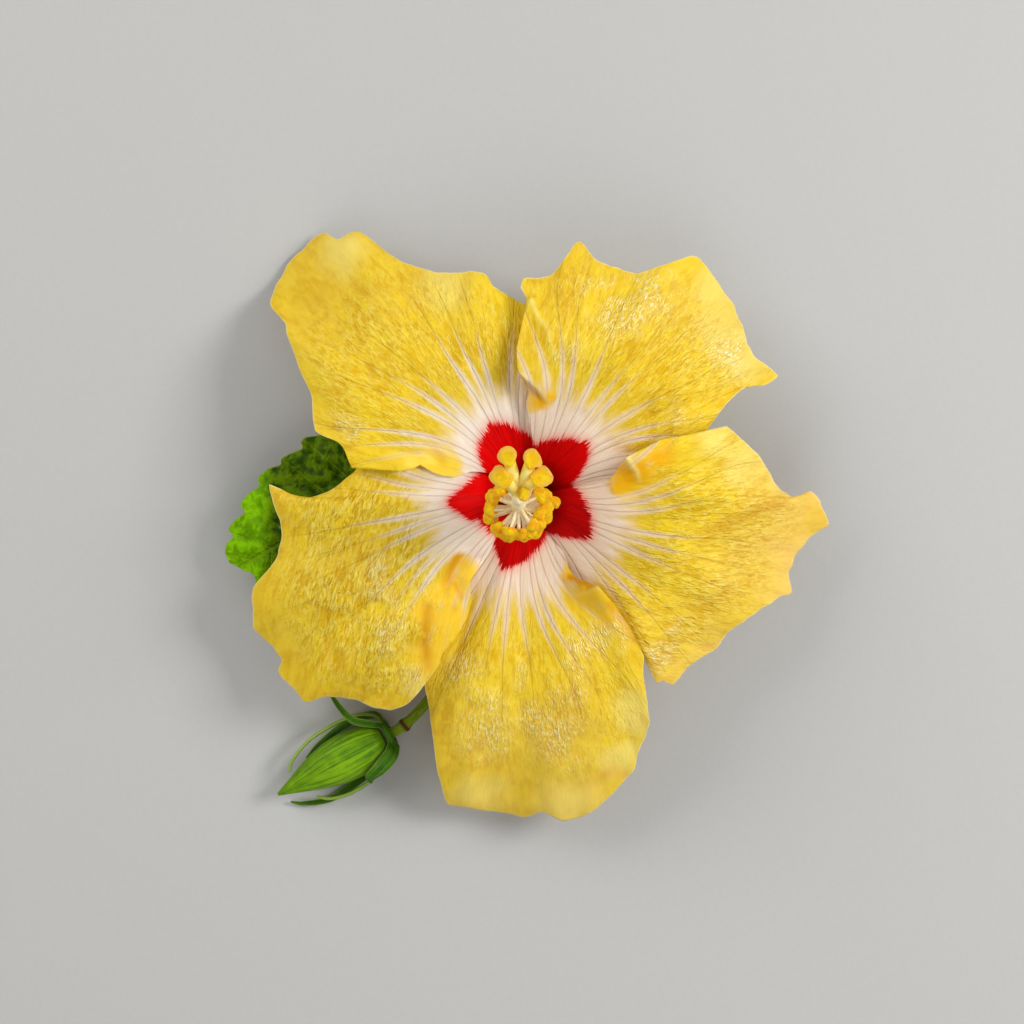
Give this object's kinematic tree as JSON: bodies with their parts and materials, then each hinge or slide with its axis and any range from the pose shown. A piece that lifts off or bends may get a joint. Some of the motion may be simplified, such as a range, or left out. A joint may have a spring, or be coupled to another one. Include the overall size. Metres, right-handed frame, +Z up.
{
  "type": "hibiscus flower",
  "caption": "Open single hibiscus bloom with overlapping ruffled petals, a long stamen column, a toothed leaf and a closed bud on a short picked twig, lying face up.",
  "frame": {"origin": "centre of the sprig's outline on the surface that it lies on", "axes": "+Z up out of the open flower along its axis, +X towards the petal that points away from the leaf, +Y towards the cleft between the two upper petals, away from the bud"},
  "size_m": [0.1456, 0.1435, 0.0751],
  "materials": {
    "petal": "soft satin sheen, yellow with a red eye and a pale ring",
    "staminal_column": "matt, cream tube and filaments with orange-yellow anthers",
    "pistil": "velvety yellow stigma pads",
    "flower_calyx": "matt green",
    "flower_epicalyx": "matt dark green",
    "stem": "green bark, brown at the joints and the cut end",
    "leaf": "glossy quilted green",
    "bud_calyx": "ridged yellow-green",
    "bud_epicalyx": "dark green with pale edges"
  },
  "bodies": {
    "root": {"petal_1": "petal", "petal_2": "petal", "petal_3": "petal", "petal_4": "petal", "petal_5": "petal", "staminal_column": "staminal_column", "pistil": "pistil", "flower_calyx": "flower_calyx", "flower_epicalyx": "flower_epicalyx", "stem": "stem", "leaf": "leaf", "bud_calyx": "bud_calyx", "bud_epicalyx": "bud_epicalyx"}
  },
  "joints": []
}
